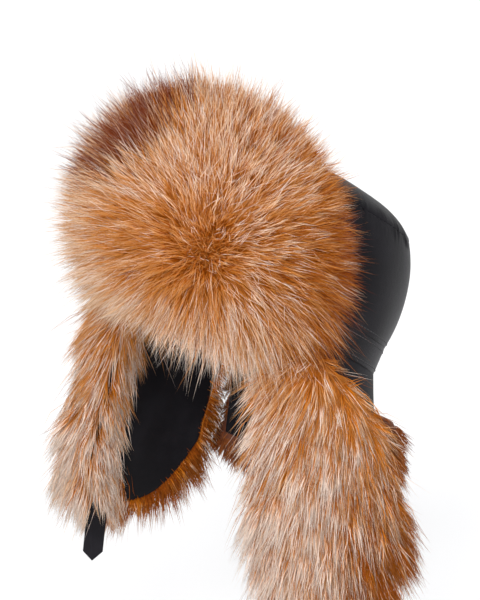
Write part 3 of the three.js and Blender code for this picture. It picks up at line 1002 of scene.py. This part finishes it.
def hair_faces(middle):
    """Corners of one hair's faces, and the place of each corner on the hair map."""
    ring = 1 if middle else 0
    faces, places = [], []
    for k in range(3):
        after = (k + 1) % 3
        left, right, centre = k / 3, (k + 1) / 3, (k + 0.5) / 3
        faces.append([ring + k, ring + after, ring + 3])
        places += [(left, middle), (right, middle), (centre, 1)]
        if middle:
            faces.append([0, ring + after, ring + k])
            places += [(centre, 0), (right, middle), (left, middle)]
    if not middle:
        faces.append([2, 1, 0])
        places += [(1, 0), (0.5, 0), (0, 0)]
    return faces, np.array(places)


def tufts(place, normal, way, length, kind, coat, rng):
    """Splits each tuft into hairs that lean together at their tips.
    Returns roots, tips, kinds and each hair's length."""
    index = np.repeat(np.arange(len(place)), coat["members"])
    offset = rng.normal(size=(len(index), 3)) * coat["spread"] * MM
    offset -= normal[index] * np.sum(offset * normal[index], axis=1, keepdims=True)
    reach = length[index] * rng.uniform(TUFT["shortest"], TUFT["longest"], len(index))
    stray = rng.normal(size=(len(index), 3)) * (TUFT["stray"] * reach)[:, None]
    root = place[index] - normal[index] * TUFT["root"]
    tip = root + offset * coat["gather"] + way[index] * reach[:, None] + stray
    return root + offset, tip, kind[index] + rng.normal(size=len(index)) * TUFT["kind"], reach


def laid(way, normal, rng, loose, lift):
    """Loosens ways a little, and turns what would run into the fur's body out along its normals."""
    way = way + rng.normal(size=way.shape) * loose
    short = np.maximum(lift - np.sum(way * normal, axis=1), 0)
    return unit(way + normal * short[:, None])


def grow(pelt, coat_name, names, shape, split=None):
    """Grows a coat of tufts on a pelt. shape gives a tuft's way, length and kind by place and normal,
    and split the number of a hair's piece by its root."""
    coat, rng = COATS[coat_name], pelt["rng"]
    place, normal = scatter(pelt["body"], coat["tufts"], rng, pelt["keep"])
    root, tip, kinds, reach = tufts(place, normal, *shape(place, normal), coat, rng)
    droop = DOWN * (coat["droop"] * reach)[:, None]
    bow = rng.normal(size=root.shape) * (coat["bow"] * reach)[:, None] - droop * TUFT["sag"]
    lines = hair_lines(root, held_within(root, tip + droop), bow, coat, rng)
    if "crown" in pelt:
        free = lines[:, 1:].copy()
        lines[:, 1:] = clear_of(lines[:, 1:], pelt["crown"], CROWN_GAP["hair"])
        straight = np.linalg.norm(lines[:, 1:] - free, axis=2).max(axis=1) < CROWN_GAP["pushed"]
        lines, kinds = lines[straight], kinds[straight]
    widths = rng.uniform(TUFT["thinnest"], TUFT["thickest"], len(lines))
    radius = pelt["radius"] * coat["width"] * widths
    numbers = split(lines[:, 0]) if split else np.zeros(len(lines), dtype=int)
    for number, name in enumerate(names):
        part = numbers == number
        hair_piece(name, lines[part], radius[part], kinds[part], coat["middle"], pelt)


def held_within(root, tip):
    """Ends the few hairs that would reach past the room round the hat."""
    low, high = (np.array(corner) for corner in CAD_BOX)
    room = (high - low) * FUR_ROOM["share"] + FUR_ROOM["fixed"]
    step = tip - root
    step = np.where(np.abs(step) < SHORTEST_STEP, SHORTEST_STEP, step)
    left = np.where(step > 0, high + room - root, low - room - root) / step
    return root + step * np.clip(left.min(axis=1), FUR_ROOM["least"], 1)[:, None]


def patched_kinds(way, rng, usual):
    """The kind of each of the visor's tufts, by the patches that its way from the heart lies in."""
    kind = rng.choice([ORANGE, CREAM, SILVER], size=len(way), p=usual)
    for patch in VISOR_PATCHES:
        centre = unit(np.array(patch["way"], dtype=float))
        angle = np.degrees(np.arccos(np.clip(way @ centre, -1, 1)))
        chance = patch["share"] * np.exp(-((angle / patch["spread"]) ** 4))
        kind = np.where(rng.random(len(way)) < chance, patch["kind"], kind)
    return kind


def visor_ways(place, lay, fall):
    """Ways of the visor's hair: out from the heart, laid away from the whorl, and falling,
    most at the lower sides, where it hangs over the ear flaps."""
    out = unit(place - FUR_HEART)
    away = out - WHORL * (out @ WHORL)[:, None]
    away /= np.linalg.norm(away, axis=1, keepdims=True) + WHORL_CALM
    low = ramp(out[:, 2], 0, OVERHANG["in_full"]) * np.abs(out[:, 0])
    way = out + away * lay
    way[:, 2] -= fall + OVERHANG["fall"] * low
    return out, unit(way)


def visor_lengths(out, length):
    """Lengths of the visor's hair, shorter on top and at the crown, longer over the ears."""
    back, top = ramp(out[:, 1], 0.02, 0.37), ramp(out[:, 2], 0.5, 1)
    over_ears = ramp(out[:, 2], 0, -0.5) * ramp(np.abs(out[:, 0]), 0.3, 0.8)
    change = VISOR_LENGTHS["at_crown"] * back * (1 - over_ears)
    change += VISOR_LENGTHS["on_top"] * top * (1 - back) + VISOR_LENGTHS["over_ears"] * over_ears
    return length * (1 + change)


def visor_thirds(root):
    """Numbers of the pieces of the visor's hair, from the left to the right."""
    return np.where(root[:, 0] > VISOR_THIRD, 0, np.where(root[:, 0] > -VISOR_THIRD, 1, 2))


def make_visor_fur(fur, material, wool):
    body = make_underfur("visor_fur", "visor_underfur", wool, "fox_fur", visor_form, cell=4 * MM, rounds=5)
    crown = crown_form()
    rng = np.random.default_rng(fur.seed)

    def keep(place, normal):
        return np.sum(unit(place - FUR_HEART) * normal, axis=1) > OUTER_FACE["visor"]

    def guard(place, normal):
        out, way = visor_ways(place, lay=1.35, fall=0.08)
        way = laid(way + drift(place, 34 * MM, flow=0.12), normal, rng, loose=0.05, lift=0.2)
        length = visor_lengths(out, 34 * MM * rng.uniform(0.7, 1.18, len(place)))
        return way, length, patched_kinds(out, rng, usual=(0.58, 0.33, 0.09))

    def woolly(place, normal):
        out, way = visor_ways(place, lay=1.0, fall=0.05)
        way = laid(way, normal, rng, loose=0.10, lift=0.25)
        kind = patched_kinds(out, rng, usual=(0.9, 0.1, 0.0))
        kind = np.where((kind == SILVER) | (kind == CREAM), rng.choice([ORANGE, CREAM], len(kind)), kind)
        length = visor_lengths(out, 22 * MM * rng.uniform(0.8, 1.1, len(place)))
        return way, length, np.where(kind == DARK, DARK, kind - WOOL_KIND["visor"])

    def stray(place, normal):
        out, way = visor_ways(place, lay=0.55, fall=0.0)
        way = laid(way, normal, rng, loose=0.14, lift=0.45)
        length = visor_lengths(out, 50 * MM * rng.uniform(0.6, 1.05, len(place)))
        length *= 1 + 0.3 * ramp(out[:, 2], 0.3, 1.3)
        return way, length, patched_kinds(out, rng, usual=(0.2, 0.4, 0.4))

    pelt = {"body": body, "keep": keep, "rng": rng, "radius": fur.hair, "material": material,
            "slot": "fox_fur", "crown": crown}
    for coat, shape in (("visor_guard", guard), ("visor_wool", woolly), ("visor_stray", stray)):
        grow(pelt, coat, [f"{coat}_{side}" for side in ("left", "middle", "right")], shape, visor_thirds)


def ear_form(side, crown):
    """Moves the ear fur's points to where its underfur lies: thinner than its locks, and hanging back.
    What lies against the leather stays."""
    low, high = box_of(f"ear_fur_{side['name']}")
    flap = surface_of(frame["nodes"][f"ear_flap_{side['name']}"])

    def move(places, normals):
        spots, _, gap = nearest(flap, places)
        free = ramp(gap, SEWN_FUR, FREE_FUR["ear"])
        depth = (high[2] - places[:, 2]) / (high[2] - low[2])
        across = (places[:, 1] - low[1]) / (high[1] - low[1]) * 2 - 1
        front, back, rise = read_off(EAR_SHIFTS, "depth", depth)
        shifted = spots + (places - spots) * (1 - (1 - EAR_UNDERFUR) * free)[:, None]
        shifted[:, 1] += np.where(across > 0, back, front) * np.abs(across) * free
        shifted[:, 2] += (rise + side["hem"] * HEM_RISE * ramp(depth, LOWER_THIRD, 1)) * free
        return clear_of(shifted, crown, CROWN_GAP["underfur"])

    return move


def on_line(name, value):
    line = EAR_LINES[name]
    return np.clip(line["start"] + line["slope"] * value, 0, line["most"])


def ear_kinds(place, box, rng, usual, pale):
    """Kinds of the ear's hair: orange at the top, rust low at the back, palest along the front."""
    low, high = box
    depth = (high[2] - place[:, 2]) / (high[2] - low[2])
    front = (high[1] - place[:, 1]) / (high[1] - low[1])
    orange = np.interp(depth, EAR_ORANGE["depth"], EAR_ORANGE["chance"])
    orange -= EAR_ORANGE_FRONT["less"] * (front - EAR_ORANGE_FRONT["from"])
    silver = on_line("silver_by_front", front) * np.interp(depth, EAR_SILVER["depth"], EAR_SILVER["chance"])
    rust = on_line("rust_by_front", front) * on_line("rust_by_depth", depth)
    rust = np.maximum(rust, on_line("back_rust_by_front", front))
    kind = rng.choice([ORANGE, CREAM, SILVER], size=len(place), p=usual)
    # Silver hair thins out by pale: below 1 this is painted shade, on the far ear and on the hair folded
    # onto a flap's inner face.
    for chance, hue in ((orange, ORANGE), (silver * pale, SILVER), (rust, RUST)):
        kind = np.where(rng.random(len(place)) < chance, hue, kind)
    return kind


def make_ear_fur(side, fur, material, wool):
    name, sign, pale = side["name"], side["sign"], side["pale"]
    crown = crown_form()
    form = ear_form(side, crown)
    body = make_underfur(
        f"ear_fur_{name}", f"ear_underfur_{name}", wool, "fox_fur", form, cell=4 * MM, rounds=14)
    rng = np.random.default_rng(fur.seed + 10 + sign)
    low, high = box_of(f"ear_fur_{name}")
    span = high - low
    spring = np.array([0, low[1] + EAR_FAN["along"] * span[1], high[2] + EAR_FAN["above"]])
    outer_way = np.array([sign, 0, 0])
    off_leather = away_from(f"ear_flap_{name}", OFF_LEATHER["ear"])

    def keep(place, normal):
        return (normal[:, 0] * sign > OUTER_FACE["ear"]) | off_leather(place)

    def behind(place):
        return ramp((place[:, 1] - low[1]) / span[1], 0.5, 1)

    def down(place):
        """The ways of a fan that springs above the flap, bent back behind its middle."""
        fan = place - spring
        fan[:, 0] = 0
        fan = unit(fan)
        fan[:, 1] += EAR_FAN["bend"] * behind(place) ** EAR_FAN["curve"]
        return unit(fan)

    def guard(place, normal):
        way = down(place) + outer_way * 0.08 + normal * 0.1 + drift(place, 38 * MM, flow=0.12)
        way = laid(way, normal, rng, loose=0.04, lift=0.1)
        depth = (high[2] - place[:, 2]) / span[2]
        length = EAR_LENGTH["top"] + (EAR_LENGTH["low"] + EAR_LENGTH["low_back"] * behind(place)) * depth
        length *= rng.uniform(0.8, 1.1, len(place)) * (1 - side["hem"] * ramp(depth, LOWER_THIRD, 1))
        return way, length, ear_kinds(place, (low, high), rng, (0.15, 0.45, 0.4), pale)

    def woolly(place, normal):
        way = laid(down(place) + outer_way * 0.2 + normal * 0.2, normal, rng, loose=0.09, lift=0.18)
        kind = ear_kinds(place, (low, high), rng, (0.5, 0.5, 0.0), pale)
        kind = np.where(kind == SILVER, CREAM, kind) - WOOL_KIND["ear"]
        return way, 24 * MM * rng.uniform(0.8, 1.1, len(place)), kind

    def stray(place, normal):
        way = laid(down(place) + outer_way * 0.15 + normal * 0.3, normal, rng, loose=0.08, lift=0.3)
        length = 52 * MM * rng.uniform(0.7, 1.05, len(place))
        return way, length, rng.choice([CREAM, SILVER, RUST], len(place))

    pelt = {"body": body, "keep": keep, "rng": rng, "radius": fur.hair, "material": material,
            "slot": "fox_fur", "crown": crown}
    for coat, shape in (("ear_stray", stray), ("ear_guard", guard), ("ear_wool", woolly)):
        grow(pelt, coat, [f"{coat}_{name}"], shape)
    make_ear_fold(name, pelt)


def plate_rim(node):
    """A search tree over the narrow faces round a leather plate."""
    mesh = frame["nodes"][node].data
    points = [v.co.copy() for v in mesh.vertices]
    narrow = []
    for face in mesh.polygons:
        corners = [points[i] for i in face.vertices]
        longest = max((a - b).length for a, b in zip(corners, corners[1:] + corners[:1]))
        if 2 * face.area / longest < 1.3 * LEATHER:
            narrow.append(tuple(face.vertices))
    return BVHTree.FromPolygons(points, narrow)


def make_ear_fold(name, ear_pelt):
    """The hair that wraps round the flap's edges onto its inner face, widest along the front."""
    rim = plate_rim(f"ear_flap_{name}")
    fur = surface_of(frame["nodes"][f"ear_fur_{name}"])
    box = tuple(box_of(f"ear_fur_{name}"))
    rng = ear_pelt["rng"]

    def keep(place, normal):
        _, facing, gap = nearest(rim, place)
        inner = unit(nearest(fur, place)[0] - place)
        width = np.where(facing[:, 1] < FOLD["front_facing"], FOLD["front"], FOLD["behind"])
        faces_in = np.sum(inner * normal, axis=1) < FOLD["inner_facing"]
        return faces_in & (gap < width) & (facing[:, 2] < FOLD["top_facing"])

    def fold(place, normal):
        spots, facing, _ = nearest(rim, place)
        over_edge = unit(spots - place)
        front = (facing[:, 1] < FOLD["front_facing"])[:, None]
        way = np.where(front, DOWN - over_edge * 0.1, over_edge + DOWN * 0.5) + normal * 0.3
        way = unit(way + rng.normal(size=place.shape) * 0.1 + drift(place, 30 * MM, flow=0.15))
        length = np.where(front[:, 0], FOLD["front_hair"], FOLD["hair"])
        length = length * rng.uniform(0.75, 1.1, len(place))
        # The hair folded onto the inner face is painted less pale, as painted shade.
        return way, length, ear_kinds(place, box, rng, (0.45, 0.4, 0.15), pale=0.6)

    pelt = dict(ear_pelt, body=bpy.data.objects[f"flap_leather_{name}"], keep=keep)
    del pelt["crown"]
    grow(pelt, "ear_fold", [f"ear_fold_{name}"], fold)


def make_nape_fur(fur, material, wool):
    flap = surface_of(frame["nodes"]["nape_flap"])
    off_leather = away_from("nape_flap", OFF_LEATHER["nape"])

    def fuller(places, normals):
        free = ramp(nearest(flap, places)[2], SEWN_FUR, FREE_FUR["nape"])
        return places + free[:, None] * places * NAPE_BULGE

    body = make_underfur(
        "nape_fur", "nape_underfur", wool, "chestnut_fur", fuller, cell=3.5 * MM, rounds=8)
    rng = np.random.default_rng(fur.seed + 30)

    def outer_way(place):
        return unit((place - NAPE_MIDDLE) * np.array([1, 1, 0]))

    def keep(place, normal):
        return (np.sum(outer_way(place) * normal, axis=1) > OUTER_FACE["nape"]) | off_leather(place)

    def short(place, normal):
        way = outer_way(place) * 0.4 + normal * 0.3 + DOWN * 0.75 + drift(place, 26 * MM, flow=0.2)
        way = unit(way + rng.normal(size=place.shape) * 0.1)
        return way, 19 * MM * rng.uniform(0.7, 1.2, len(place)), rng.uniform(0.1, 0.9, len(place))

    pelt = {"body": body, "keep": keep, "rng": rng, "radius": fur.hair, "material": material,
            "slot": "chestnut_fur"}
    grow(pelt, "nape_hair", ["nape_hair"], short)


def bearing(azimuth, elevation):
    azimuth, elevation = math.radians(azimuth), math.radians(elevation)
    level = math.cos(elevation)
    return Vector((math.sin(azimuth) * level, -math.cos(azimuth) * level, math.sin(elevation)))


def make_camera():
    """A camera on the hat, turned so that the hat leans as it is worn."""
    roll = math.radians(VIEW["roll"])
    toward = bearing(VIEW["azimuth"], VIEW["elevation"])
    right = bearing(VIEW["azimuth"] + 90, 0)
    up = toward.cross(right)
    right, up = right * math.cos(roll) + up * math.sin(roll), up * math.cos(roll) - right * math.sin(roll)
    deselect()
    bpy.ops.object.camera_add(location=toward * VIEW["distance"])
    camera = bpy.context.object
    camera.name = "camera"
    camera.rotation_euler = Matrix((right, up, toward)).transposed().to_euler()
    lens = camera.data
    lens.sensor_fit = "HORIZONTAL"
    lens.sensor_width = SENSOR_WIDTH
    lens.lens = SENSOR_WIDTH * VIEW["distance"] / (PICTURE["width"] * VIEW["metres_a_pixel"])
    lens.shift_x = (PICTURE["width"] / 2 - PICTURE["origin_x"]) / PICTURE["width"]
    lens.shift_y = (PICTURE["origin_y"] - PICTURE["height"] / 2) / PICTURE["width"]
    lens.clip_end = 20
    bpy.context.scene.camera = camera


def make_lamps(studio):
    for lamp in LAMPS:
        toward = bearing(lamp["azimuth"], lamp["elevation"])
        deselect()
        bpy.ops.object.light_add(type="SUN", location=toward * LAMP_DISTANCE)
        light = bpy.context.object
        light.name = f"lamp_{lamp['name']}"
        light.rotation_euler = toward.to_track_quat("Z", "Y").to_euler()
        light.data.angle = math.radians(lamp["softness"])
        light.data.energy = lamp["strength"] * studio.light


def make_floor(studio):
    deselect()
    bpy.ops.mesh.primitive_plane_add(size=12, location=(0, 0, -studio.below))
    floor = bpy.context.object
    floor.name = floor.data.name = "floor"
    finish = Finish("pale_floor")
    colour = tuple(studio.floor)
    cloud = finish.noise(0.4, detail=2)
    pale = finish.mix(cloud, times(colour, 0.985), colour)
    floor.data.materials.append(finish.close(Base_Color=pale, Roughness=0.7))


def make_room_light(studio):
    world = bpy.data.worlds.new("room")
    bpy.context.scene.world = world
    world.use_nodes = True
    background = world.node_tree.nodes["Background"]
    background.inputs["Color"].default_value = (1, 1, 1, 1)
    background.inputs["Strength"].default_value = studio.sky
    bpy.context.scene.view_settings.view_transform = "Standard"


class USHANKA_OT_stage(bpy.types.Operator):
    """Set up the camera, the soft lamps and the pale floor"""

    bl_idname = "ushanka.stage"
    bl_label = "Stage"

    def execute(self, context):
        studio = context.scene.ushanka_studio
        make_camera()
        make_lamps(studio)
        make_floor(studio)
        make_room_light(studio)
        return {"FINISHED"}


class USHANKA_OT_crown(bpy.types.Operator):
    """Model the leather crown: its wall, band, top panel and stitches"""

    bl_idname = "ushanka.crown"
    bl_label = "Crown"

    def execute(self, context):
        settings = context.scene.ushanka_leather
        satin = leather_finish("satin_leather", settings, settings.roughness)
        wall = make_crown_side(settings, satin)
        band = make_crown_band(satin)
        make_crown_top(settings, satin)
        make_stitches(settings, thread_finish(settings), (wall, band))
        return {"FINISHED"}


class USHANKA_OT_flaps(bpy.types.Operator):
    """Model the leather of the visor, the ear flaps and the nape flap"""

    bl_idname = "ushanka.flaps"
    bl_label = "Flap leather"

    def execute(self, context):
        settings = context.scene.ushanka_leather
        matt = leather_finish("flap_leather", settings, settings.roughness + 0.12)
        make_flap("visor", "visor_leather", matt)
        for side in EAR_SIDES:
            make_flap(f"ear_flap_{side['name']}", f"flap_leather_{side['name']}", matt)
        make_flap("nape_flap", "nape_leather", matt)
        return {"FINISHED"}


class USHANKA_OT_ties(bpy.types.Operator):
    """Model the pointed leather ties"""

    bl_idname = "ushanka.ties"
    bl_label = "Ties"

    def execute(self, context):
        settings = context.scene.ushanka_leather
        strap = leather_finish("strap_leather", settings, settings.roughness + 0.05)
        for side in EAR_SIDES:
            make_tie(side, strap)
        return {"FINISHED"}


class USHANKA_OT_fox_fur(bpy.types.Operator):
    """Grow the long fox fur on the visor and the ear flaps"""

    bl_idname = "ushanka.fox_fur"
    bl_label = "Fox fur"

    def execute(self, context):
        fur = context.scene.ushanka_fur
        hair = fox_finish(fur)
        wool = underfur_finish("visor_wool", fur.root, 0.6, fur.dark, shaded=(-60 * MM, -25 * MM))
        make_visor_fur(fur, hair, wool)
        wool = underfur_finish("ear_wool", fur.root, 0.6, fur.dark, shaded=(35 * MM, 75 * MM))
        for side in EAR_SIDES:
            make_ear_fur(side, fur, hair, wool)
        return {"FINISHED"}


class USHANKA_OT_nape_fur(bpy.types.Operator):
    """Grow the short chestnut fur on the nape flap"""

    bl_idname = "ushanka.nape_fur"
    bl_label = "Nape fur"

    def execute(self, context):
        fur = context.scene.ushanka_fur
        wool = underfur_finish("chestnut_underfur", fur.chestnut, 0.5, fur.chestnut, shaded=(0, 1))
        make_nape_fur(fur, chestnut_finish(fur), wool)
        return {"FINISHED"}


class USHANKA_PT_panel(bpy.types.Panel):
    """The ushanka's pieces, with their sizes and colours"""

    bl_idname = "USHANKA_PT_panel"
    bl_label = "Ushanka"
    bl_space_type = "VIEW_3D"
    bl_region_type = "UI"
    bl_category = "Ushanka"

    def draw(self, context):
        for group in SETTINGS:
            box = self.layout.box()
            settings = getattr(context.scene, group)
            for key in type(settings).__annotations__:
                box.prop(settings, key)
        for operator in OPERATORS:
            self.layout.operator(operator.bl_idname)


OPERATORS = (
    USHANKA_OT_stage, USHANKA_OT_crown, USHANKA_OT_flaps, USHANKA_OT_ties, USHANKA_OT_fox_fur,
    USHANKA_OT_nape_fur,
)
CLASSES = (LeatherSettings, FurSettings, StudioSettings, *OPERATORS, USHANKA_PT_panel)
SETTINGS = {
    "ushanka_leather": LeatherSettings,
    "ushanka_fur": FurSettings,
    "ushanka_studio": StudioSettings,
}


def register():
    for cls in CLASSES:
        bpy.utils.register_class(cls)
    for name, group in SETTINGS.items():
        setattr(bpy.types.Scene, name, bpy.props.PointerProperty(type=group))


def unregister():
    for name in SETTINGS:
        delattr(bpy.types.Scene, name)
    for cls in reversed(CLASSES):
        bpy.utils.unregister_class(cls)


def main():
    register()
    bpy.ops.ushanka.stage()
    bpy.ops.ushanka.crown()
    bpy.ops.ushanka.flaps()
    bpy.ops.ushanka.ties()
    bpy.ops.ushanka.fox_fur()
    bpy.ops.ushanka.nape_fur()


if __name__ == "__main__":
    main()
